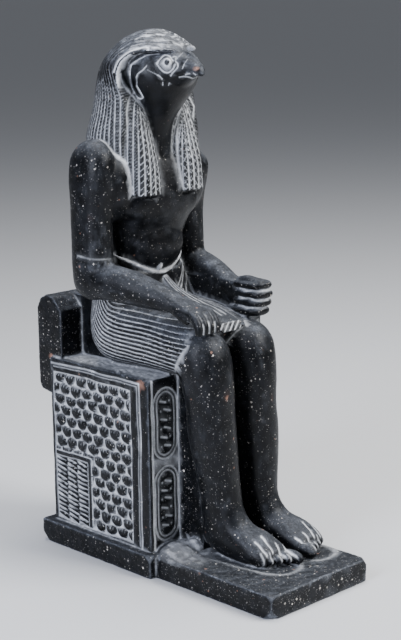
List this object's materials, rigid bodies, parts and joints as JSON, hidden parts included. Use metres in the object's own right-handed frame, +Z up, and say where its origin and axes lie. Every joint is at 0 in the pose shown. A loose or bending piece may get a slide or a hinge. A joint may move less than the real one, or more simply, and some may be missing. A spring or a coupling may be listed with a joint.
{
  "type": "seated falcon statuette",
  "caption": "Seated falcon-headed figure with a long braided wig, on a low-backed throne and a stepped plinth, carved whole from black speckled stone.",
  "frame": {"origin": "middle of the plinth's underside", "axes": "+Z up; the figure faces -Y, its right hand is at -X"},
  "size_m": [0.0938, 0.1897, 0.3],
  "materials": {
    "black_stone": "satin"
  },
  "bodies": {
    "root": {"seated_falcon_figure": "black_stone"}
  },
  "joints": []
}
